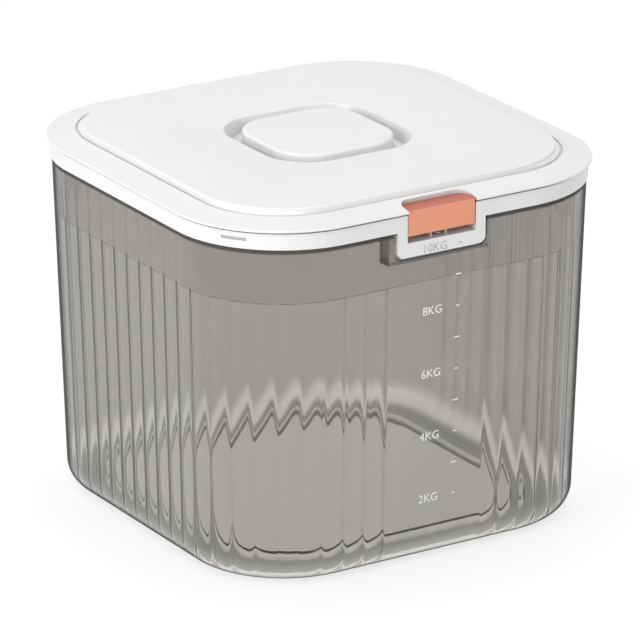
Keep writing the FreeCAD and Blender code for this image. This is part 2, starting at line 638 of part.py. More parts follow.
def lid_liner():
    """Tray that closes the lid from below: a wall with the gasket's groove, floor and screw cups."""
    wall = slab(LINER_HALF, LINER_R, LINER_Z, LIP_Z).fuse(panel_inside(SEAT_GAP))
    wall = wall.cut(frame_ring(LINER_HALF + CUT_PAST, LINER_R + CUT_PAST, GASKET_DEPTH + CUT_PAST,
                               GASKET_Z, GASKET_Z + GASKET_HEIGHT))
    inner_half = LINER_HALF - GASKET_DEPTH - LINER_WALL
    inner_radius = LINER_R - GASKET_DEPTH - LINER_WALL
    tray = wall.cut([slab(inner_half, inner_radius, LINER_Z + LINER_FLOOR, LIP_Z),
                     panel_inside(SEAT_GAP + LINER_WALL)])
    cup_z = LINER_Z + LINER_FLOOR + SCREW_HEAD + SCREW_CLEAR
    for x, y in screw_places():
        tray = tray.fuse(rod_z(x, y, LINER_Z, cup_z, SCREW_HEAD_R + SCREW_CLEAR + SCREW_CUP_WALL))
    for x, y in screw_places():
        tray = tray.cut([rod_z(x, y, LINER_Z, cup_z - LINER_FLOOR, SCREW_HEAD_R + SCREW_CLEAR),
                         rod_z(x, y, LINER_Z, cup_z, SCREW_R + SCREW_CLEAR)])
    tray = tray.cut(rod_z(0, 0, LINER_Z, LINER_Z + LINER_FLOOR, WELL_R))
    slot = block(-STRIKE_HALF, STRIKE_HALF, -LINER_HALF, -inner_half + CUT_PAST,
                 LIP_Z - STRIKE - STRIKE_CLEAR, LIP_Z - STRIKE_CLEAR)
    return tray.cut(slot)


def lid_gasket():
    """Silicone ring with two lips towards the collar's mouth."""
    half = MOUTH_HALF - GASKET_GAP
    radius = MOUTH_R - GASKET_GAP
    lip = GASKET_HEIGHT / 4
    depth = half - (LINER_HALF - GASKET_DEPTH)
    ring = frame_ring(half, radius, depth, GASKET_Z, GASKET_Z + GASKET_HEIGHT)
    waist = frame_ring(half, radius, depth / 2, GASKET_Z + lip, GASKET_Z + GASKET_HEIGHT - lip)
    return ring.cut(waist)


def lid_screws():
    screw = pan_screw(SCREW_R, SCREW_LENGTH, SCREW_HEAD_R, SCREW_HEAD)
    bearing_z = LINER_Z + SCREW_HEAD + SCREW_CLEAR
    return Part.makeCompound([place(screw, x, y, bearing_z) for x, y in screw_places()])


# ---- latch ----
def latch_button():
    """Front plate, top plate and two cheeks, which turn on a barrel at the lower back."""
    back = FRONT_Y + BUTTON_DEPTH
    front = block(-BUTTON_HALF, BUTTON_HALF, FRONT_Y, FRONT_Y + BUTTON_WALL, BUTTON_Z, BUTTON_TOP_Z)
    top = flat_plate(BUTTON_HALF, FRONT_Y, back, BUTTON_TOP_Z - BUTTON_WALL, BUTTON_TOP_Z,
                     BUTTON_CORNER_R)
    cap = front.fuse(top).removeSplitter()
    edges = [e for e in cap.Edges if e.BoundBox.YMax < FRONT_Y + 1e-3]
    cap = cap.makeFillet(BUTTON_EDGE, edges)
    pieces = [block(-SEAT_HALF, SEAT_HALF, FRONT_Y + BUTTON_WALL / 2, SPRING_Y + SPRING_R,
                    SLOT_Z + SPRING_HEIGHT, SLOT_Z + SPRING_HEIGHT + SEAT_WALL)]
    for side in (1, -1):
        outer = BUTTON_HALF - CHEEK_INSET
        x0, x1 = sorted((side * (outer - CHEEK_WALL), side * outer))
        foot = LATCH_Z - LATCH_BARREL_R
        cheek = Part.Face(Part.makePolygon([
            Vector(x0, FRONT_Y + BUTTON_WALL / 2, BUTTON_Z + BUTTON_EDGE),
            Vector(x0, LATCH_Y, foot),
            Vector(x0, LATCH_Y + LATCH_BARREL_R, LATCH_Z),
            Vector(x0, LATCH_Y + LATCH_BARREL_R, BUTTON_TOP_Z - BUTTON_CORNER_R),
            Vector(x0, back - BUTTON_CORNER_R, BUTTON_TOP_Z - BUTTON_WALL / 2),
            Vector(x0, FRONT_Y + BUTTON_WALL / 2, BUTTON_TOP_Z - BUTTON_WALL / 2),
            Vector(x0, FRONT_Y + BUTTON_WALL / 2, BUTTON_Z + BUTTON_EDGE),
        ]))
        pieces.append(cheek.extrude(Vector(CHEEK_WALL, 0, 0)))
        x0, x1 = sorted((side * (outer - LATCH_BARREL), side * outer))
        pieces.append(rod_x(x0, x1, LATCH_Y, LATCH_Z, LATCH_BARREL_R))
    button = cap.fuse(pieces)
    return button.cut(rod_x(-BUTTON_HALF, BUTTON_HALF, LATCH_Y, LATCH_Z, LATCH_PIN_R + RUN_CLEAR))


def latch_pin():
    end = OPENING_HALF + HOUSING_WALL
    return rod_x(-end, end, LATCH_Y, LATCH_Z, LATCH_PIN_R)


def latch_spring():
    """Compression spring between the housing's floor and the button's seat."""
    height = SPRING_HEIGHT - 2 * SPRING_WIRE_R
    spring = coil(SPRING_R, SPRING_WIRE_R, height, SPRING_TURNS)
    return place(spring, 0, SPRING_Y, SLOT_Z + SPRING_WIRE_R)


def latch_strike():
    """Bent steel plate that passes through the liner's wall to the edge of the lid's notch."""
    inner = -(LINER_HALF - GASKET_DEPTH - LINER_WALL)
    top = LIP_Z - STRIKE_CLEAR
    plate = block(-STRIKE_HALF, STRIKE_HALF, NOTCH_Y, inner + STRIKE, top - STRIKE, top)
    leg = block(-STRIKE_HALF, STRIKE_HALF, inner, inner + STRIKE, top - STRIKE_LEG, top)
    return plate.fuse(leg).removeSplitter()


# ---- cap ----
def cap_screw_places():
    out = (PLUG_R - PLUG_WALL - CAP_SCREW_INSET) * math.sqrt(0.5)
    return [(x * out, y * out) for x, y in ((1, 1), (-1, 1), (-1, -1), (1, -1))]


def cap_top():
    shell = taper(CAP_HALF - CAP_DRAFT, CAP_R - CAP_DRAFT, CAP_Z, CAP_HALF, CAP_R, CAP_TOP_Z)
    shell = shell.makeFillet(CAP_ROUNDING, level_edges(shell, CAP_TOP_Z))
    inner_half = CAP_HALF - CAP_DRAFT - CAP_WALL
    inner_radius = CAP_R - CAP_DRAFT - CAP_WALL
    shell = shell.cut(slab(inner_half, inner_radius, CAP_Z, CAP_TOP_Z - CAP_WALL))
    for x, y in cap_screw_places():
        shell = shell.fuse(rod_z(x, y, PLATE_TOP_Z, CAP_TOP_Z - CAP_WALL / 2, CAP_BOSS_R))
    for x, y in cap_screw_places():
        shell = shell.cut(rod_z(x, y, PLATE_TOP_Z, PLATE_Z + CAP_SCREW_LENGTH,
                                CAP_SCREW_R + SCREW_CLEAR))
    return shell


def cap_plug():
    """Plate inside the cap, with a tube that carries the O-ring and the cup."""
    half = CAP_HALF - CAP_DRAFT - CAP_WALL - SCREW_CLEAR
    radius = CAP_R - CAP_DRAFT - CAP_WALL - SCREW_CLEAR
    plug = slab(half, radius, PLATE_Z, PLATE_TOP_Z)
    plug = plug.fuse(tube_z(PLUG_Z, PLATE_Z, PLUG_R, PLUG_R - PLUG_WALL))
    groove_top = PLATE_Z - RING_DROP
    groove_floor = WELL_R - RING_GAP - 2 * RING_R
    plug = plug.cut(tube_z(groove_top - RING_GROOVE, groove_top, PLUG_R + CUT_PAST, groove_floor))
    for x, y in cap_screw_places():
        plug = plug.cut(rod_z(x, y, PLATE_Z, PLATE_TOP_Z, CAP_SCREW_R + SCREW_CLEAR))
    return plug


def cap_oring():
    """Round-section ring, its section eight-sided."""
    middle_z = PLATE_Z - RING_DROP - RING_GROOVE / 2
    middle_r = WELL_R - RING_GAP - RING_R
    section = []
    for side in range(WIRE_SIDES + 1):
        turn = 2 * math.pi * (side + 0.5) / WIRE_SIDES
        section.append(Vector(middle_r + RING_R * math.cos(turn), 0,
                              middle_z + RING_R * math.sin(turn)))
    return Part.Face(Part.makePolygon(section)).revolve(Vector(), Vector(0, 0, 1), 360)


def cap_screws():
    screw = pan_screw(CAP_SCREW_R, CAP_SCREW_LENGTH, CAP_SCREW_HEAD_R, CAP_SCREW_HEAD)
    return Part.makeCompound([place(screw, x, y, PLATE_Z) for x, y in cap_screw_places()])


def desiccant_cup():
    """Shallow cup with radial vents, whose flange closes the plug's tube from below."""
    outer = PLUG_R - PLUG_WALL - CUP_GAP
    inner = outer - CUP_WALL
    cup = rod_z(0, 0, PLUG_Z - CUP_FLANGE, PLUG_Z, PLUG_R)
    cup = cup.fuse(rod_z(0, 0, PLUG_Z, PLUG_Z + CUP_HEIGHT, outer))
    cup = cup.cut(rod_z(0, 0, PLUG_Z - CUP_FLANGE + CUP_WALL, PLUG_Z + CUP_HEIGHT, inner))
    vent = block(VENT_HUB, inner - VENT_RIM, -VENT_WIDTH / 2, VENT_WIDTH / 2,
                 PLUG_Z - CUP_FLANGE, PLUG_Z)
    vents = []
    for index in range(VENT_COUNT):
        turned = vent.copy()
        turned.rotate(Vector(), Vector(0, 0, 1), 360.0 * index / VENT_COUNT)
        vents.append(turned)
    return cup.cut(vents)


def main():
    nodes = {
        "container": container(),
        "collar": collar(),
        "hinge_pin_left": hinge_pin(-1),
        "hinge_pin_right": hinge_pin(1),
        "hinge_spring_left": hinge_spring(-1),
        "hinge_spring_right": hinge_spring(1),
        "lid_cover": lid_cover(),
        "lid_liner": lid_liner(),
        "lid_gasket": lid_gasket(),
        "lid_screws": lid_screws(),
        "latch_button": latch_button(),
        "latch_pin": latch_pin(),
        "latch_spring": latch_spring(),
        "latch_strike": latch_strike(),
        "cap_top": cap_top(),
        "cap_plug": cap_plug(),
        "cap_oring": cap_oring(),
        "cap_screws": cap_screws(),
        "desiccant_cup": desiccant_cup(),
    }
    os.makedirs("parts", exist_ok=True)
    for name, shape in nodes.items():
        assert shape.isValid(), name
        shape.exportStep(f"parts/{name}.step")
        print(name, len(shape.Solids), "solids", round(shape.Volume), "mm3")


main()
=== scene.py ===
import math

import bmesh
import bpy
from mathutils import Matrix, Vector


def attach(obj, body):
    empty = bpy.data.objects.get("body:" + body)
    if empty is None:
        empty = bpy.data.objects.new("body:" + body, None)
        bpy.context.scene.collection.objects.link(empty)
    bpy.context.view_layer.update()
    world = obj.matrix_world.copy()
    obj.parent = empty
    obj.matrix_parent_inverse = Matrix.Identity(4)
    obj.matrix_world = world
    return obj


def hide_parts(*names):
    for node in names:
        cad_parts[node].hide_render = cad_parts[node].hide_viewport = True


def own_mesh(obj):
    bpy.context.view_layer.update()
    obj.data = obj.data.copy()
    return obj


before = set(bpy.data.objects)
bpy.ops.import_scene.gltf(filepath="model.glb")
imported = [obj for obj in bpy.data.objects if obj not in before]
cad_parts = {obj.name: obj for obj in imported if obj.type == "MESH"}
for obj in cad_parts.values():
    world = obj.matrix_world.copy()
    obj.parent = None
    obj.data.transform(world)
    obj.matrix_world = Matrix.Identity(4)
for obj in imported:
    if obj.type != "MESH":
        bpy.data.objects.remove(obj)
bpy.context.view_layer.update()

# ---- camera ----
# A long lens from the front left and a little above, aimed at the middle of the bin, so that its
# upright edges stay almost parallel. Colours are shown as they are, with no film look.
MM = 0.001
VIEW_TURN = math.radians(-32.03)
VIEW_RISE = math.radians(20.0)
VIEW_DISTANCE = 3.356
LENS = 318.5
AIM_Z = 103.9
AIM_RIGHT = 1.39
AIM_UP = 3.99

bpy.context.scene.view_settings.view_transform = "Standard"
back = Vector((math.sin(VIEW_TURN) * math.cos(VIEW_RISE),
               -math.cos(VIEW_TURN) * math.cos(VIEW_RISE), math.sin(VIEW_RISE)))
right = Vector((math.cos(VIEW_TURN), math.sin(VIEW_TURN), 0))
up = back.cross(right)
aim = Vector((0, 0, AIM_Z * MM)) + right * AIM_RIGHT * MM + up * AIM_UP * MM
camera_data = bpy.data.cameras.new("camera")
camera_data.lens = LENS
camera_data.sensor_width = 36
camera_data.clip_end = 20
camera = bpy.data.objects.new("camera", camera_data)
camera.matrix_world = Matrix.Translation(aim + back * VIEW_DISTANCE) @ Matrix(
    (right, up, back)).transposed().to_4x4()
bpy.context.collection.objects.link(camera)
bpy.context.scene.camera = camera

# ---- studio ----
# A white sweep that keeps the bin's soft shadow, a white surround, and large soft boxes from the
# left, the front and above.
SURROUND = (0.98, 0.985, 1.0, 1)
SURROUND_STRENGTH = 0.42
SWEEP_HALF = 4
SWEEP_PAPER = (0.80, 0.80, 0.80, 1)
SWEEP_SHADED = (0.40, 0.40, 0.40, 1)
SWEEP_GLOW = 0.68
LAMPS_FACE = (0, 0, 0.12)
WHITE = (1, 1, 1, 1)


def node_tree(owner):
    """Empty node tree of a material or a world."""
    owner.use_nodes = True
    tree = owner.node_tree
    tree.nodes.clear()
    return tree


def worked_out(tree, operation, *values):
    """One step of arithmetic on sockets and plain numbers."""
    step = tree.nodes.new("ShaderNodeMath")
    step.operation = operation
    for socket, value in zip(step.inputs, values):
        if isinstance(value, float):
            socket.default_value = value
        else:
            tree.links.new(value, socket)
    return step.outputs[0]


def blend_shaders(tree, share, first, second):
    """Shader between two nodes' shaders, all of the second where the share is 1."""
    mix = tree.nodes.new("ShaderNodeMixShader")
    tree.links.new(share, mix.inputs[0])
    tree.links.new(first.outputs[0], mix.inputs[1])
    tree.links.new(second.outputs[0], mix.inputs[2])
    return mix


def coloured(tree, kind, colour, strength=None):
    """Shader node of one colour, and of one strength where it gives light."""
    node = tree.nodes.new(kind)
    node.inputs["Color"].default_value = colour
    if strength is not None:
        node.inputs["Strength"].default_value = strength
    return node


def seen_ray(tree):
    """1 for a ray that shows the surround: straight from the camera, through glass or off gloss."""
    path = tree.nodes.new("ShaderNodeLightPath")
    either = worked_out(tree, "MAXIMUM", path.outputs["Is Camera Ray"],
                        path.outputs["Is Transmission Ray"])
    return worked_out(tree, "MAXIMUM", either, path.outputs["Is Glossy Ray"])


def soft_box(name, place, size, power):
    """Square area lamp at a place, turned to the middle of the bin."""
    data = bpy.data.lights.new(name, "AREA")
    data.shape = "SQUARE"
    data.size = size
    data.energy = power
    lamp = bpy.data.objects.new(name, data)
    lamp.location = place
    lamp.rotation_euler = (Vector(LAMPS_FACE) - Vector(place)).to_track_quat("-Z", "Y").to_euler()
    bpy.context.collection.objects.link(lamp)


world = bpy.data.worlds.new("studio")
bpy.context.scene.world = world
tree = node_tree(world)
dim = coloured(tree, "ShaderNodeBackground", SURROUND, SURROUND_STRENGTH)
white = coloured(tree, "ShaderNodeBackground", WHITE, 1.0)
mix = blend_shaders(tree, seen_ray(tree), dim, white)
tree.links.new(mix.outputs[0], tree.nodes.new("ShaderNodeOutputWorld").inputs["Surface"])

floor_mesh = bmesh.new()
bmesh.ops.create_grid(floor_mesh, x_segments=1, y_segments=1, size=SWEEP_HALF)
floor_data = bpy.data.meshes.new("floor")
floor_mesh.to_mesh(floor_data)
floor_mesh.free()
floor = bpy.data.objects.new("floor", floor_data)
bpy.context.collection.objects.link(floor)
floor_paint = bpy.data.materials.new("white_sweep")
tree = node_tree(floor_paint)
paper = coloured(tree, "ShaderNodeBsdfDiffuse", SWEEP_PAPER)
shaded = coloured(tree, "ShaderNodeBsdfDiffuse", SWEEP_SHADED)
glow = coloured(tree, "ShaderNodeEmission", WHITE, SWEEP_GLOW)
bright = tree.nodes.new("ShaderNodeAddShader")
tree.links.new(shaded.outputs[0], bright.inputs[0])
tree.links.new(glow.outputs[0], bright.inputs[1])
mix = blend_shaders(tree, seen_ray(tree), paper, bright)
tree.links.new(mix.outputs[0], tree.nodes.new("ShaderNodeOutputMaterial").inputs["Surface"])
floor_data.materials.append(floor_paint)

soft_box("soft_box_left", (-2.1, -0.6, 0.7), 1.2, 30)
soft_box("soft_box_front", (0.7, -2.2, 0.9), 1.2, 11)
soft_box("soft_box_top", (0.1, 0.3, 2.1), 1.5, 18)

# ---- container ----
# One injection-moulded bin in grey see-through plastic. Its wall is smooth outside and fluted
# inside, with a plain window for the scale. A rim with four small tabs takes the collar, and a
# pocket takes the latch.
BODY_TOP_HALF = 132.4
BODY_TOP_R = 67.7
BASE_HALF = 127.0
BASE_R = 64.4
BASE_ROUNDING = 15.5
INNER_ROUNDING_STEPS = 8
OUTER_ROUNDING_STEPS = 10
SHOULDER_Z = 206.6
SHOULDER_EDGE = 0.3
LEDGE_Z = 173.4
LEDGE_RISE = 0.4
LEDGE_EDGE = 0.1
RIM_TOP_Z = 214.8
RIM_HALF = 131.5
RIM_R = 66.8
RIM_WALL = 2.2
WALL = 2.4
FLUTE_DEPTH = 1.2
FLUTE_COUNT = 60
BAND_DEPTH = 0.5
FLUTE_SHARES = (0.0, 0.012, 0.025, 0.04, 0.06, 0.09, 0.13, 0.19, 0.27, 0.38, 0.5)
RIDGE_SOFT = 0.12
WINDOW_HALF = 32.3
WINDOW_STEPS = 6
FLOOR = 3.2
PLATEAU_TOP = 8.2
PLATEAU_UNDERSIDE = 5.0
PLATEAU_HALF = 97.0
PLATEAU_R = 45.0
PLATEAU_SLOPE = 3.0
POCKET_HALF = 31.5
POCKET_Y = -121.4
POCKET_Z = 189.3
POCKET_WALL = 2.4
POCKET_FRONT = -130.6
POCKET_ROUNDING = 5.0
TAB_TURN = math.radians(35.0)
TAB_LENGTH = 15.2
TAB_HEIGHT = 1.5
TAB_DEPTH = 1.3
TAB_ROOT = 1.0
TAB_STEPS = 12
TAB_Z = RIM_TOP_Z - 2.2
HINGE_X = 45.0
HINGE_GAP_HALF = 17.2
HINGE_GAP_Y = 127.1
HINGE_GAP_Z = 210.6
CUT_REACH = 140
CUT_TOP = 220
CUT_ABOVE_RIM = 5
SHARP = math.radians(32)
NEAR = 0.01
# Painted light on the foot and painted shade on the band above the ledge.
FOOT_PAINTED_LIGHT_TINT = (0.97, 0.96, 0.945, 1)
WALL_TINT = (0.588, 0.576, 0.561, 1)
BAND_PAINTED_SHADE_TINT = (0.50, 0.485, 0.47, 1)
DEPTH_TINT = (0.60, 0.585, 0.56, 1)
DEPTH_DENSITY = 60
# Painted dark reflection and painted shade lines on the clear wall.
PAINTED_EDGE_SHADE_COLOUR = (0.075, 0.068, 0.058, 1)
# Painted light on the rim inside the collar.
COLLARED_PAINTED_LIGHT = (0.60, 0.595, 0.58, 1)
SHADOW_TINT = (0.85, 0.85, 0.85, 1)
FOOT_PAINTED_LIGHT_TINT_Z = 6.0
WALL_TINT_Z = 20.0
BAND_SHADE_FADE = 1.0
FINEST_POLISH = 0.02
DULLEST_POLISH = 0.045
# Where and how much the painted dark edges and painted shade lines cover.
EDGE_FROM = 0.66
EDGE_FULL = 0.84
EDGE_SHARE = 0.92
PAINTED_SHADE_LINES = ((1.2, 6.0, 0.85, 0.0), (203.4, 204.8, 0.0, 0.93))
# Heights and share of the painted light on the rim inside the collar.
COLLARED_Z = SHOULDER_Z + 0.8
COLLARED_FULL_Z = SHOULDER_Z + 1.6
COLLARED_SHARE = 0.8


def outline_point(half, radius, run):
    """Point on a square with round corners, and the way out of it, run along it from the front's
    middle towards +X."""
    straight = half - radius
    arc = math.pi / 2 * radius
    turns, along = divmod(run, 2 * straight + arc)
    if along < straight:
        x, y, facing = along, -half, -math.pi / 2
    elif along < straight + arc:
        facing = (along - straight) / radius - math.pi / 2
        x = straight + radius * math.cos(facing)
        y = -straight + radius * math.sin(facing)
    else:
        x, y, facing = half, along - 2 * straight - arc, 0.0
    turn = math.pi / 2 * turns
    return (x * math.cos(turn) - y * math.sin(turn), x * math.sin(turn) + y * math.cos(turn),
            math.cos(facing + turn), math.sin(facing + turn))


def flute(share):
    """Hollow of a flute, from 0 on its softened ridges to 1 in its middle."""
    low = min(share, 1 - share)
    if low < RIDGE_SOFT:
        return 2 * (1 - 2 * RIDGE_SOFT) * low * low / RIDGE_SOFT
    edge = 2 * (1 - 2 * RIDGE_SOFT) * RIDGE_SOFT
    return edge + 4 * (share * (1 - share) - RIDGE_SOFT * (1 - RIDGE_SOFT))


def fluted_ring(shape, half, radius, z, depth=0.0, lean=0.0):
    """Closed loop round the bin with one outward hollow per flute, or plain where the depth is 0.
    A lean turns the hollows downwards."""
    around = 8 * (half - radius) + 2 * math.pi * radius
    pitch = (around - 2 * WINDOW_HALF) / FLUTE_COUNT
    runs = [(-WINDOW_HALF + 2 * WINDOW_HALF * i / WINDOW_STEPS, 0.0) for i in range(WINDOW_STEPS)]
    shares = FLUTE_SHARES + tuple(1 - share for share in FLUTE_SHARES[-2:0:-1])
    for index in range(FLUTE_COUNT):
        for share in shares:
            runs.append((WINDOW_HALF + pitch * (index + share), depth * flute(share)))
    points = []
    for run, sink in runs:
        x, y, out_x, out_y = outline_point(half, radius, run % around)
        aside = sink * math.cos(lean)
        points.append(shape.verts.new(((x + aside * out_x) * MM, (y + aside * out_y) * MM,
                                       (z - sink * math.sin(lean)) * MM)))
    return points


def body_outline(z, inset):
    """Half width and corner radius of the leaning wall at a height, an inset behind its face."""
    share = (z - BASE_ROUNDING) / (SHOULDER_Z - BASE_ROUNDING)
    return (BASE_HALF + (BODY_TOP_HALF - BASE_HALF) * share - inset,
            BASE_R + (BODY_TOP_R - BASE_R) * share - inset)


def skin(shape, rings):
    """Walls between one ring of points and the next."""
    for lower, upper in zip(rings, rings[1:]):
        for i in range(len(lower)):
            shape.faces.new((lower[i - 1], lower[i], upper[i], upper[i - 1]))


def close_ends(shape, rings):
    """Flat ends on the first and the last ring, and every face turned outwards."""
    shape.faces.new(rings[0])
    shape.faces.new(rings[-1])
    bmesh.ops.recalc_face_normals(shape, faces=shape.faces)


def new_piece(name, shape, material=None, body="base"):
    """Finishes a bmesh as a piece that rides on a body, shaded smooth up to an angle."""
    data = bpy.data.meshes.new(name)
    shape.to_mesh(data)
    shape.free()
    data.shade_smooth()
    data.set_sharp_from_angle(angle=SHARP)
    piece = bpy.data.objects.new(name, data)
    bpy.context.collection.objects.link(piece)
    if material:
        data.materials.append(material)
    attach(piece, body)
    return piece


def carve(piece, cutters, operation="DIFFERENCE"):
    """Cuts closed shapes out of a piece, or joins them to it, and keeps the plain result."""
    for cutter in cutters:
        data = bpy.data.meshes.new("cutter")
        cutter.to_mesh(data)
        cutter.free()
        tool = bpy.data.objects.new("cutter", data)
        bpy.context.collection.objects.link(tool)
        change = piece.modifiers.new("carve", "BOOLEAN")
        change.operation = operation
        change.solver = "EXACT"
        change.object = tool
        bpy.context.view_layer.update()
        result = bpy.data.meshes.new_from_object(piece.evaluated_get(
            bpy.context.evaluated_depsgraph_get()))
        piece.modifiers.clear()
        old = piece.data
        piece.data = result
        result.name = piece.name
        bpy.data.meshes.remove(old)
        bpy.data.objects.remove(tool)
        bpy.data.meshes.remove(data)


def refinish(piece, material):
    """Creases and material of a carved piece, in place of what carving left."""
    piece.data.set_sharp_from_angle(angle=SHARP)
    piece.data.materials.clear()
    piece.data.materials.append(material)


def block(x0, x1, y0, y1, z0, z1):
    """Box between two corners, in millimetres."""
    shape = bmesh.new()
    bmesh.ops.create_cube(shape, size=1)
    bmesh.ops.scale(shape, vec=((x1 - x0) * MM, (y1 - y0) * MM, (z1 - z0) * MM), verts=shape.verts)
    bmesh.ops.translate(shape, vec=((x0 + x1) / 2 * MM, (y0 + y1) / 2 * MM, (z0 + z1) / 2 * MM),
                        verts=shape.verts)
    return shape


def round_sides(shape, radius, axis, level, segments=6):
    """Rounds a box's left and right edges in the face that lies at a level along an axis."""
    picked = []
    for edge in shape.edges:
        a, b = (vert.co / MM for vert in edge.verts)
        if max(abs(a[axis] - level), abs(b[axis] - level), abs(a.x - b.x)) < NEAR:
            picked.append(edge)
    bmesh.ops.bevel(shape, geom=picked, offset=radius * MM, offset_type="OFFSET", segments=segments,
                    profile=0.5, affect="EDGES", clamp_overlap=True, material=-1)


def snap_tab(side_x, side_y):
    """Short bar round one corner of the rim, which the collar's window catches."""
    shape = bmesh.new()
    corner = RIM_HALF - RIM_R
    steps = range(TAB_STEPS + 1)
    loops = []
    for z in (TAB_Z - TAB_HEIGHT / 2, TAB_Z + TAB_HEIGHT / 2):
        loop = []
        for reach, way in ((RIM_R + TAB_DEPTH, steps), (RIM_R - TAB_ROOT, reversed(steps))):
            for step in way:
                turn = TAB_TURN + (step / TAB_STEPS - 0.5) * TAB_LENGTH / RIM_R
                loop.append(shape.verts.new((side_x * (corner + reach * math.cos(turn)) * MM,
                                             side_y * (corner + reach * math.sin(turn)) * MM,
                                             z * MM)))
        loops.append(loop)
    skin(shape, loops)
    close_ends(shape, loops)
    return shape


def blend_colours(tree, share, first, second):
    """Colour between a socket or a plain colour and a second colour."""
    mix = tree.nodes.new("ShaderNodeMix")
    mix.data_type = "RGBA"
    tree.links.new(share, mix.inputs["Factor"])
    if isinstance(first, tuple):
        mix.inputs["A"].default_value = first
    else:
        tree.links.new(first, mix.inputs["A"])
    mix.inputs["B"].default_value = second
    return mix.outputs["Result"]


def ramp(tree, value, low, high, start=0.0, end=1.0, smooth=True):
    """Goes from a start to an end while a value goes from low to high."""
    node = tree.nodes.new("ShaderNodeMapRange")
    if smooth:
        node.interpolation_type = "SMOOTHSTEP"
    tree.links.new(value, node.inputs["Value"])
    node.inputs["From Min"].default_value = low
    node.inputs["From Max"].default_value = high
    node.inputs["To Min"].default_value = start
    node.inputs["To Max"].default_value = end
    return node.outputs[0]


shape = bmesh.new()
crest = WALL + FLUTE_DEPTH
rings = [fluted_ring(shape, PLATEAU_HALF, PLATEAU_R, PLATEAU_TOP),
         fluted_ring(shape, PLATEAU_HALF + PLATEAU_SLOPE, PLATEAU_R + PLATEAU_SLOPE, FLOOR)]
for step in range(INNER_ROUNDING_STEPS + 1):
    turn = math.pi / 2 * step / INNER_ROUNDING_STEPS
    sink = (BASE_ROUNDING - crest) * (1 - math.sin(turn)) + crest
    rings.append(fluted_ring(shape, BASE_HALF - sink, BASE_R - sink,
                             FLOOR + (BASE_ROUNDING - crest) * (1 - math.cos(turn)),
                             FLUTE_DEPTH * math.sin(turn), math.pi / 2 - turn))
rings.append(fluted_ring(shape, *body_outline(LEDGE_Z, crest), LEDGE_Z, FLUTE_DEPTH))
band_half = RIM_HALF - RIM_WALL
band_r = RIM_R - RIM_WALL
rings.append(fluted_ring(shape, band_half - LEDGE_EDGE - BAND_DEPTH,
                         band_r - LEDGE_EDGE - BAND_DEPTH, LEDGE_Z + LEDGE_RISE, BAND_DEPTH))
rings.append(fluted_ring(shape, band_half - BAND_DEPTH, band_r - BAND_DEPTH, RIM_TOP_Z,
                         BAND_DEPTH))
rings.append(fluted_ring(shape, RIM_HALF, RIM_R, RIM_TOP_Z))
rings.append(fluted_ring(shape, RIM_HALF, RIM_R, SHOULDER_Z))
rings.append(fluted_ring(shape, BODY_TOP_HALF - SHOULDER_EDGE, BODY_TOP_R - SHOULDER_EDGE,
                         SHOULDER_Z))
rings.append(fluted_ring(shape, *body_outline(SHOULDER_Z - SHOULDER_EDGE, 0),
                         SHOULDER_Z - SHOULDER_EDGE))
for step in range(OUTER_ROUNDING_STEPS + 1):
    turn = math.pi / 2 * step / OUTER_ROUNDING_STEPS
    sink = BASE_ROUNDING * (1 - math.cos(turn))
    rings.append(fluted_ring(shape, BASE_HALF - sink, BASE_R - sink,
                             BASE_ROUNDING * (1 - math.sin(turn))))
rings.append(fluted_ring(shape, PLATEAU_HALF, PLATEAU_R, 0))
rings.append(fluted_ring(shape, PLATEAU_HALF - PLATEAU_SLOPE, PLATEAU_R - PLATEAU_SLOPE,
                         PLATEAU_UNDERSIDE))
skin(shape, rings)
close_ends(shape, rings)
container = new_piece("container_shell", shape)
pocket_wall = block(-POCKET_HALF - POCKET_WALL, POCKET_HALF + POCKET_WALL, POCKET_FRONT,
                    POCKET_Y + POCKET_WALL, POCKET_Z - POCKET_WALL, RIM_TOP_Z)
tabs = [snap_tab(*sides) for sides in ((1, 1), (-1, 1), (-1, -1), (1, -1))]
carve(container, [pocket_wall] + tabs, "UNION")
pocket = block(-POCKET_HALF, POCKET_HALF, -CUT_REACH, POCKET_Y, POCKET_Z,
               RIM_TOP_Z + CUT_ABOVE_RIM)
round_sides(pocket, POCKET_ROUNDING, 2, POCKET_Z)
hinge_gaps = [block(side * HINGE_X - HINGE_GAP_HALF, side * HINGE_X + HINGE_GAP_HALF, HINGE_GAP_Y,
                    CUT_REACH, HINGE_GAP_Z, CUT_TOP) for side in (-1, 1)]
carve(container, [pocket] + hinge_gaps)
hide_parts("container")

# Light runs along inside the clear wall, so it is followed for longer.
bpy.context.scene.cycles.max_bounces = 24
bpy.context.scene.cycles.transmission_bounces = 24
bpy.context.scene.cycles.glossy_bounces = 16

# The foot is painted lighter than the wall, as painted light, and the band above the ledge darker,
# as painted shade. A slow ripple and a change of polish are left by the way that the plastic flowed
# into the mould.
smoke = bpy.data.materials.new("clear_grey_plastic")
tree = node_tree(smoke)
where = tree.nodes.new("ShaderNodeTexCoord").outputs["Object"]
place = tree.nodes.new("ShaderNodeSeparateXYZ")
tree.links.new(where, place.inputs[0])
height = place.outputs["Z"]
past_painted_foot_light = ramp(tree, height, FOOT_PAINTED_LIGHT_TINT_Z * MM, WALL_TINT_Z * MM)
tint_with_painted_foot_light = blend_colours(tree, past_painted_foot_light, FOOT_PAINTED_LIGHT_TINT, WALL_TINT)
painted_band_shade_share = ramp(tree, height, LEDGE_Z * MM, (LEDGE_Z + BAND_SHADE_FADE) * MM)
tint_with_painted_light_and_shade = blend_colours(tree, painted_band_shade_share, tint_with_painted_foot_light, BAND_PAINTED_SHADE_TINT)
flow = tree.nodes.new("ShaderNodeTexNoise")
flow.inputs["Scale"].default_value = 55
flow.inputs["Detail"].default_value = 2
tree.links.new(where, flow.inputs["Vector"])
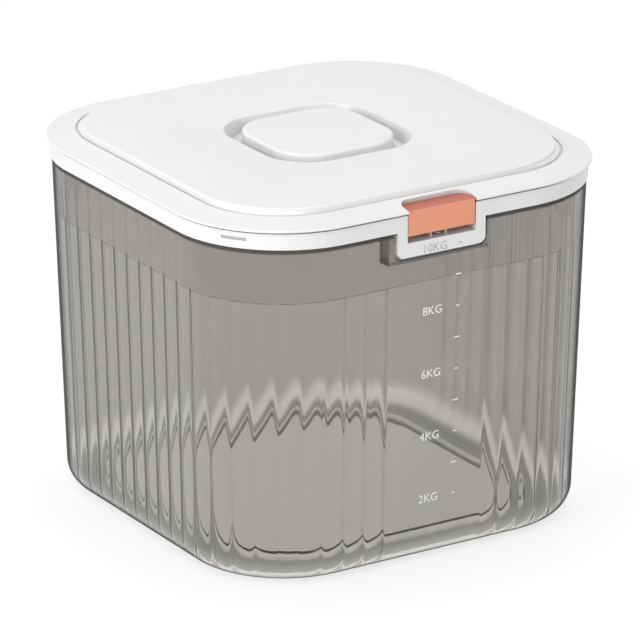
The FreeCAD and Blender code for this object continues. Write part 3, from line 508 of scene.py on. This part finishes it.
polish = ramp(tree, flow.outputs["Fac"], 0.0, 1.0, FINEST_POLISH, DULLEST_POLISH, smooth=False)
ripple = tree.nodes.new("ShaderNodeBump")
ripple.inputs["Strength"].default_value = 0.4
ripple.inputs["Distance"].default_value = 0.05 * MM
tree.links.new(flow.outputs["Fac"], ripple.inputs["Height"])
glass = tree.nodes.new("ShaderNodeBsdfPrincipled")
glass.inputs["Transmission Weight"].default_value = 1.0
glass.inputs["IOR"].default_value = 1.49
tree.links.new(tint_with_painted_light_and_shade, glass.inputs["Base Color"])
tree.links.new(polish, glass.inputs["Roughness"])
tree.links.new(ripple.outputs["Normal"], glass.inputs["Normal"])

# Painted dark reflection where the clear plastic is seen edge on, and painted shade round the foot
# and just below the collar: a dark diffuse is mixed into the glass there.
edge_on = tree.nodes.new("ShaderNodeLayerWeight")
edge_on.inputs["Blend"].default_value = 0.5
painted_dark_share = ramp(tree, edge_on.outputs["Facing"], EDGE_FROM, EDGE_FULL, 0.0, EDGE_SHARE)
for low, high, low_share, high_share in PAINTED_SHADE_LINES:
    edge = ramp(tree, height, low * MM, high * MM, low_share, high_share)
    painted_dark_share = worked_out(tree, "MAXIMUM", painted_dark_share, edge)
facing_side = tree.nodes.new("ShaderNodeNewGeometry")
outside = worked_out(tree, "SUBTRACT", 1.0, facing_side.outputs["Backfacing"])
painted_dark_edge = coloured(tree, "ShaderNodeBsdfDiffuse", PAINTED_EDGE_SHADE_COLOUR)
glass_with_painted_dark = blend_shaders(tree, worked_out(tree, "MULTIPLY", painted_dark_share, outside), glass, painted_dark_edge)

# Painted light: the rim is painted lighter inside the white collar. A shadow passes through the
# wall lightly tinted.
painted_collar_light_share = ramp(tree, height, COLLARED_Z * MM, COLLARED_FULL_Z * MM, 0.0, COLLARED_SHARE,
                 smooth=False)
painted_collar_light = coloured(tree, "ShaderNodeBsdfDiffuse", COLLARED_PAINTED_LIGHT)
lined = blend_shaders(tree, painted_collar_light_share, glass_with_painted_dark, painted_collar_light)
through = coloured(tree, "ShaderNodeBsdfTransparent", SHADOW_TINT)
path = tree.nodes.new("ShaderNodeLightPath")
mix = blend_shaders(tree, path.outputs["Is Shadow Ray"], lined, through)
tint = coloured(tree, "ShaderNodeVolumeAbsorption", DEPTH_TINT)
tint.inputs["Density"].default_value = DEPTH_DENSITY
out = tree.nodes.new("ShaderNodeOutputMaterial")
tree.links.new(mix.outputs[0], out.inputs["Surface"])
tree.links.new(tint.outputs[0], out.inputs["Volume"])
refinish(container, smoke)

# ---- white mouldings ----
# The collar that snaps over the bin's rim, the liner screwed under the lid, and the cap's top,
# plug and cup. White plastic from spark-eroded moulds, with a fine even grain and a colour that
# varies a little from flow, and with painted shade that darkens it a little in its creases.
GRAIN_SIZE = 1800.0
GRAIN_DEPTH = 0.1
COLOUR_CHANGE = 0.05
# Reach and depth of the painted shade in creases.
CREASE_REACH = 4
CREASE_SHADE = 0.45

grain_and_crease_shade = bpy.data.node_groups.new("moulded_grain_and_crease_shade", "ShaderNodeTree")
for name, value in (("Size", GRAIN_SIZE), ("Depth", GRAIN_DEPTH), ("Roughness", 0.4),
                    ("Change", COLOUR_CHANGE)):
    grain_and_crease_shade.interface.new_socket(name, in_out="INPUT",
                               socket_type="NodeSocketFloat").default_value = value
grain_and_crease_shade.interface.new_socket("Colour", in_out="INPUT", socket_type="NodeSocketColor")
grain_and_crease_shade.interface.new_socket("Colour", in_out="OUTPUT", socket_type="NodeSocketColor")
grain_and_crease_shade.interface.new_socket("Roughness", in_out="OUTPUT", socket_type="NodeSocketFloat")
grain_and_crease_shade.interface.new_socket("Normal", in_out="OUTPUT", socket_type="NodeSocketVector")
given = grain_and_crease_shade.nodes.new("NodeGroupInput")
result = grain_and_crease_shade.nodes.new("NodeGroupOutput")
where = grain_and_crease_shade.nodes.new("ShaderNodeTexCoord").outputs["Object"]
fine = grain_and_crease_shade.nodes.new("ShaderNodeTexNoise")
fine.inputs["Detail"].default_value = 3
grain_and_crease_shade.links.new(where, fine.inputs["Vector"])
grain_and_crease_shade.links.new(given.outputs["Size"], fine.inputs["Scale"])
broad = grain_and_crease_shade.nodes.new("ShaderNodeTexNoise")
broad.inputs["Scale"].default_value = 22
broad.inputs["Detail"].default_value = 4
grain_and_crease_shade.links.new(where, broad.inputs["Vector"])
bump = grain_and_crease_shade.nodes.new("ShaderNodeBump")
bump.inputs["Distance"].default_value = 0.05 * MM
grain_and_crease_shade.links.new(given.outputs["Depth"], bump.inputs["Strength"])
grain_and_crease_shade.links.new(fine.outputs["Fac"], bump.inputs["Height"])
grain_and_crease_shade.links.new(bump.outputs["Normal"], result.inputs["Normal"])
centred = worked_out(grain_and_crease_shade, "SUBTRACT", broad.outputs["Fac"], 0.5)
change = worked_out(grain_and_crease_shade, "MULTIPLY_ADD", centred, given.outputs["Change"], 1.0)
gloss = worked_out(grain_and_crease_shade, "MULTIPLY", given.outputs["Roughness"], change)
grain_and_crease_shade.links.new(gloss, result.inputs["Roughness"])
# Painted shade: the colour is darkened in creases, where other surfaces lie near.
nearby = grain_and_crease_shade.nodes.new("ShaderNodeAmbientOcclusion")
nearby.samples = 8
nearby.inputs["Distance"].default_value = CREASE_REACH * MM
painted_crease_shade = ramp(grain_and_crease_shade, nearby.outputs["AO"], 0.0, 1.0, CREASE_SHADE, smooth=False)
shade = given.outputs["Colour"]
for scale in (change, painted_crease_shade):
    scaled = grain_and_crease_shade.nodes.new("ShaderNodeVectorMath")
    scaled.operation = "SCALE"
    grain_and_crease_shade.links.new(shade, scaled.inputs[0])
    grain_and_crease_shade.links.new(scale, scaled.inputs["Scale"])
    shade = scaled.outputs[0]
grain_and_crease_shade.links.new(shade, result.inputs["Colour"])


def moulded(name, colour, roughness, depth=GRAIN_DEPTH, change=COLOUR_CHANGE, size=GRAIN_SIZE,
            metallic=0.0, top=None):
    """Opaque material with the moulded grain at its own size and depth and painted shade in its
    creases, and a second colour painted as shade on the faces that look up where one is given."""
    material = bpy.data.materials.new(name)
    tree = node_tree(material)
    made = tree.nodes.new("ShaderNodeGroup")
    made.node_tree = grain_and_crease_shade
    made.inputs["Colour"].default_value = (*colour, 1)
    for input_name, value in (("Roughness", roughness), ("Depth", depth), ("Change", change),
                              ("Size", size)):
        made.inputs[input_name].default_value = value
    # Painted shade: the faces that look up take the second colour.
    if top:
        facing = tree.nodes.new("ShaderNodeSeparateXYZ")
        tree.links.new(tree.nodes.new("ShaderNodeTexCoord").outputs["Normal"], facing.inputs[0])
        painted_top_shade_share = ramp(tree, facing.outputs["Z"], 0.45, 0.9)
        tree.links.new(blend_colours(tree, painted_top_shade_share, (*colour, 1), (*top, 1)), made.inputs["Colour"])
    shader = tree.nodes.new("ShaderNodeBsdfPrincipled")
    shader.inputs["Metallic"].default_value = metallic
    tree.links.new(made.outputs["Colour"], shader.inputs["Base Color"])
    tree.links.new(made.outputs["Roughness"], shader.inputs["Roughness"])
    tree.links.new(made.outputs["Normal"], shader.inputs["Normal"])
    tree.links.new(shader.outputs[0], tree.nodes.new("ShaderNodeOutputMaterial").inputs["Surface"])
    return material


def dress(material, *names):
    """Puts a finish on CAD nodes whose shapes are kept."""
    for name in names:
        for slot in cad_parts[name].material_slots:
            slot.material = material


white_plastic = moulded("white_plastic_fine_grain", (0.83, 0.825, 0.815), 0.28)
dress(white_plastic, "collar", "lid_liner", "cap_plug", "desiccant_cup", "cap_top")

# ---- latch button ----
# A hollow button moulded in glossy peach plastic, which rocks on a steel pin in the collar's latch
# frame. Its outer edges are softened by half a millimetre.
BUTTON_EDGE = 0.5

# Its top is painted darker than its front, as painted shade on the faces that look up.
peach_plastic = moulded("peach_plastic_gloss", (0.85, 0.33, 0.20), 0.26, change=0.08,
                        top=(0.50, 0.095, 0.038))
dress(peach_plastic, "latch_button")
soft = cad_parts["latch_button"].modifiers.new("soft_edges", "BEVEL")
soft.width = BUTTON_EDGE * MM
soft.segments = 3
soft.angle_limit = math.radians(50)

# ---- seals ----
# Two soft rings moulded in clear white silicone: the gasket round the lid's liner, and the O-ring
# stretched into the groove of the cap's plug.
silicone = moulded("clear_white_silicone", (0.72, 0.73, 0.74), 0.55, depth=0.05)
dress(silicone, "lid_gasket", "cap_oring")

# ---- pins, hinge springs, screws and strike ----
# Plated steel: wire for the pins and the hinge springs, small screws under the lid and the cap,
# and the strike at the lid's front edge that the latch holds.
steel = moulded("plated_steel", (0.62, 0.62, 0.63), 0.28, depth=0.15, size=900.0, metallic=1.0)
dress(steel, "hinge_pin_left", "hinge_pin_right", "hinge_spring_left", "hinge_spring_right",
      "latch_pin", "lid_screws", "latch_strike", "cap_screws")

# ---- lid cover ----
# A shell moulded in white plastic and screwed to its liner, with a thin lip, a raised panel that
# stands on a fine groove, and a dish round a well for the cap. The latch button nests in its
# notch, and two knuckles hang under its back edge.
LIP_Z = 217.0
LIP_TOP_Z = 219.0
LIP_HALF = 135.0
LIP_R = 69.0
LIP_ROUNDING = 0.7
LIP_UNDER_Z = 217.8
LIP_STEP = 3.2
LIP_STEP_FOOT = 3.4
FOOT_Z = 222.1
GROOVE = 0.8
GROOVE_EDGE = 0.1
PANEL_HALF = 116.4
PANEL_FOOT_R = 51.0
PANEL_Z = 225.1
PANEL_LEAN = 1.8
PANEL_R_GAIN = 4.5
PANEL_ROUNDING = 1.3
COVER_WALL = 2.2
DISH_HALF = 47.8
DISH_R = 29.0
DISH_Z = 216.8
DISH_LEAN = 3.8
DISH_EDGE = 0.8
DISH_FOOT_ROUNDING = 2.0
DISH_THINNER = 1.0
WELL_R = 31.4
WELL_WALL = 2.0
WELL_EDGE = 0.5
WELL_FOOT_Z = 209.5
NOTCH_HALF = 23.1
NOTCH_Y = -120.8
NOTCH_R = 7.4
NOTCH_FRONT = -145
NOTCH_FOOT_Z = 216
NOTCH_TOP_Z = 230
HINGE_Y = 132.1
HINGE_Z = 213.8
KNUCKLE_FAR = 8.3
KNUCKLE_NEAR = 0.3
KNUCKLE_R = 2.9
NECK_INSET = 0.1
NECK_FRONT = 0.05
NECK_RISE = 0.5
PIN_HOLE_R = 1.26
CORNER_STEPS = 28


def plain_ring(shape, half, radius, z):
    """Closed loop of a square with round corners, or of a circle where the two sizes agree."""
    straight = half - radius
    points = []
    for quarter, (side_x, side_y) in enumerate(((1, -1), (1, 1), (-1, 1), (-1, -1))):
        for step in range(CORNER_STEPS + 1):
            turn = math.pi / 2 * (quarter - 1 + step / CORNER_STEPS)
            points.append(shape.verts.new(((side_x * straight + radius * math.cos(turn)) * MM,
                                           (side_y * straight + radius * math.sin(turn)) * MM,
                                           z * MM)))
    return points


def rounded_edge(shape, half, radius, z, size, out=1, up=1, steps=6):
    """Loops round a quarter circle, from an upright face to a level one."""
    loops = []
    for step in range(steps + 1):
        turn = math.pi / 2 * step / steps
        inset = out * size * (1 - math.cos(turn))
        loops.append(plain_ring(shape, half - inset, radius - inset,
                                z - up * size * (1 - math.sin(turn))))
    return loops


def rod(x0, x1, y, z, radius, sides=40):
    """Round bar along X, in millimetres."""
    shape = bmesh.new()
    bmesh.ops.create_cone(shape, cap_ends=True, segments=sides, radius1=radius * MM,
                          radius2=radius * MM, depth=(x1 - x0) * MM)
    bmesh.ops.rotate(shape, matrix=Matrix.Rotation(math.pi / 2, 3, "Y"), verts=shape.verts)
    bmesh.ops.translate(shape, vec=((x0 + x1) / 2 * MM, y * MM, z * MM), verts=shape.verts)
    return shape


shape = bmesh.new()
side_share = (PANEL_Z - PANEL_ROUNDING - FOOT_Z) / (PANEL_Z - FOOT_Z)
edge_half = PANEL_HALF - PANEL_LEAN * side_share
edge_r = PANEL_FOOT_R + PANEL_R_GAIN * side_share
dish_step = DISH_HALF - DISH_R
dish_foot = DISH_HALF - DISH_LEAN
well_wall = WELL_R + WELL_WALL
under_dish = dish_foot + COVER_WALL - DISH_THINNER
roof_z = PANEL_Z - COVER_WALL
roof_dish = DISH_HALF + COVER_WALL - DISH_THINNER
groove_top = FOOT_Z - GROOVE_EDGE
rings = [plain_ring(shape, LIP_HALF - LIP_STEP_FOOT, LIP_R - LIP_STEP_FOOT, LIP_Z),
         plain_ring(shape, LIP_HALF - LIP_STEP, LIP_R - LIP_STEP, LIP_UNDER_Z),
         plain_ring(shape, LIP_HALF, LIP_R, LIP_UNDER_Z)]
rings += rounded_edge(shape, LIP_HALF, LIP_R, LIP_TOP_Z, LIP_ROUNDING)
for past, z in ((2 * GROOVE, groove_top), (1.3 * GROOVE, groove_top - GROOVE),
                (0.3 * GROOVE, groove_top - GROOVE), (0, FOOT_Z)):
    rings.append(plain_ring(shape, PANEL_HALF + past, PANEL_FOOT_R + past, z))
rings += rounded_edge(shape, edge_half, edge_r, PANEL_Z, PANEL_ROUNDING)
rings += rounded_edge(shape, DISH_HALF, DISH_R, PANEL_Z, DISH_EDGE, out=-1)[::-1]
rings += rounded_edge(shape, dish_foot, dish_foot - dish_step, DISH_Z, DISH_FOOT_ROUNDING, up=-1)
rings += rounded_edge(shape, WELL_R, WELL_R, DISH_Z, WELL_EDGE, out=-1)[::-1]
rings.append(plain_ring(shape, WELL_R, WELL_R, WELL_FOOT_Z))
rings.append(plain_ring(shape, well_wall, well_wall, WELL_FOOT_Z))
rings.append(plain_ring(shape, well_wall, well_wall, DISH_Z - COVER_WALL))
rings.append(plain_ring(shape, under_dish, under_dish - dish_step, DISH_Z - COVER_WALL))
rings.append(plain_ring(shape, roof_dish, roof_dish - dish_step, roof_z))
rings.append(plain_ring(shape, PANEL_HALF - PANEL_LEAN - COVER_WALL,
                        PANEL_FOOT_R + PANEL_R_GAIN - PANEL_LEAN - COVER_WALL, roof_z))
rings.append(plain_ring(shape, PANEL_HALF - COVER_WALL, PANEL_FOOT_R - COVER_WALL, LIP_Z))
skin(shape, rings + rings[:1])
bmesh.ops.remove_doubles(shape, verts=shape.verts, dist=0.001 * MM)
bmesh.ops.recalc_face_normals(shape, faces=shape.faces)
cover = new_piece("lid_cover_shell", shape, body="lid")
notch = block(-NOTCH_HALF, NOTCH_HALF, NOTCH_FRONT, NOTCH_Y, NOTCH_FOOT_Z, NOTCH_TOP_Z)
round_sides(notch, NOTCH_R, 1, NOTCH_Y, segments=10)
carve(cover, [notch])
for side in (-1, 1):
    near, far = sorted((side * (HINGE_X - KNUCKLE_FAR), side * (HINGE_X - KNUCKLE_NEAR)))
    neck = block(near + NECK_INSET, far - NECK_INSET, HINGE_Y - KNUCKLE_R + NECK_FRONT,
                 HINGE_Y + KNUCKLE_R - NECK_INSET, HINGE_Z, LIP_Z + NECK_RISE)
    carve(cover, [rod(near, far, HINGE_Y, HINGE_Z, KNUCKLE_R), neck], "UNION")
    carve(cover, [rod(near - 1, far + 1, HINGE_Y, HINGE_Z, PIN_HOLE_R)])
refinish(cover, white_plastic)
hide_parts("lid_cover")

# ---- latch spring ----
# A small coil of steel wire between the frame's floor and the button's seat.
SPRING_R = 1.7
SPRING_WIRE_R = 0.3
SPRING_HEIGHT = 8.3
SPRING_TURNS = 4
SPRING_Y = -128.4
SPRING_FOOT_Z = 199.6
COIL_STEPS = 40
WIRE_SIDES = 14

shape = bmesh.new()
climb = SPRING_HEIGHT - 2 * SPRING_WIRE_R
slope = math.atan2(climb / SPRING_TURNS, 2 * math.pi * SPRING_R)
rings = []
for step in range(COIL_STEPS * SPRING_TURNS + 1):
    share = step / (COIL_STEPS * SPRING_TURNS)
    turn = 2 * math.pi * SPRING_TURNS * share
    out_way = Vector((math.cos(turn), math.sin(turn), 0))
    along = Vector((-math.sin(turn) * math.cos(slope), math.cos(turn) * math.cos(slope),
                    math.sin(slope)))
    middle = out_way * SPRING_R + Vector((0, SPRING_Y, SPRING_FOOT_Z + SPRING_WIRE_R
                                          + climb * share))
    loop = []
    for side in range(WIRE_SIDES):
        round_turn = 2 * math.pi * side / WIRE_SIDES
        place = middle + (out_way * math.cos(round_turn)
                          + along.cross(out_way) * math.sin(round_turn)) * SPRING_WIRE_R
        loop.append(shape.verts.new(place * MM))
    rings.append(loop)
skin(shape, rings)
close_ends(shape, rings)
latch_coil = new_piece("latch_coil", shape, steel)
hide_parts("latch_spring")
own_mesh(latch_coil)

# ---- scale ----
# White figures and strokes printed on the window, 19.4 mm of height for each kilogram of rice.
# The topmost, on the white frame, is a light grey so that it can be read.
KILO = 19.4
INK = 0.08
FRAME_HALF = 133.2
FRAME_FOOT_Z = 191.1
LABEL_X = -4.6
LABEL_HEIGHT = 5.2
LETTER_SHARE = 1.38
MARK_X = 12.6
MARK_HALF = 0.35
ODD_REACH = 1.9
EVEN_REACH = 1.2

white_ink = moulded("white_ink", (0.93, 0.93, 0.92), 0.5, depth=0.0, change=0.02)
grey_ink = moulded("grey_ink", (0.52, 0.52, 0.51), 0.5, depth=0.0, change=0.02)


def on_window(shape, x, z):
    """Mesh of a flat shape stood up against the window, or the latch's frame above it, at a place
    and a height in millimetres."""
    lean = math.atan((BODY_TOP_HALF - BASE_HALF) / (SHOULDER_Z - BASE_ROUNDING))
    y = -body_outline(z, 0)[0] - INK / 2
    if z > FRAME_FOOT_Z:
        lean, y = 0.0, -FRAME_HALF - INK / 2
    turn = Matrix.Rotation(lean, 4, "X") @ Matrix.Rotation(math.pi / 2, 4, "X")
    bmesh.ops.transform(shape, matrix=Matrix.Translation((x * MM, y * MM, z * MM)) @ turn,
                        verts=shape.verts)
    data = bpy.data.meshes.new("print")
    shape.to_mesh(data)
    shape.free()
    return data


def lettering(text):
    """Flat letters as thick as the ink, face up round the origin."""
    curve = bpy.data.curves.new("figure", "FONT")
    curve.body = text
    curve.size = LABEL_HEIGHT * LETTER_SHARE * MM
    curve.align_x = "CENTER"
    curve.align_y = "CENTER"
    curve.extrude = INK / 2 * MM
    curve.resolution_u = 3
    holder = bpy.data.objects.new("figure", curve)
    bpy.context.collection.objects.link(holder)
    bpy.context.view_layer.update()
    data = bpy.data.meshes.new_from_object(holder.evaluated_get(
        bpy.context.evaluated_depsgraph_get()))
    shape = bmesh.new()
    shape.from_mesh(data)
    bpy.data.objects.remove(holder)
    bpy.data.curves.remove(curve)
    bmesh.ops.remove_doubles(shape, verts=shape.verts, dist=1e-6)
    return shape


for name, ink, labels, marks in (("scale_print", white_ink, (2, 4, 6, 8), range(2, 10)),
                                 ("scale_print_top", grey_ink, (10,), (10,))):
    print_shape = bmesh.new()
    for kilos in labels:
        print_shape.from_mesh(on_window(lettering(f"{kilos}KG"), LABEL_X, kilos * KILO))
    for kilos in marks:
        reach = ODD_REACH if kilos % 2 else EVEN_REACH
        mark = block(-reach, reach, -MARK_HALF, MARK_HALF, -INK / 2, INK / 2)
        print_shape.from_mesh(on_window(mark, MARK_X, kilos * KILO))
    new_piece(name, print_shape, ink)
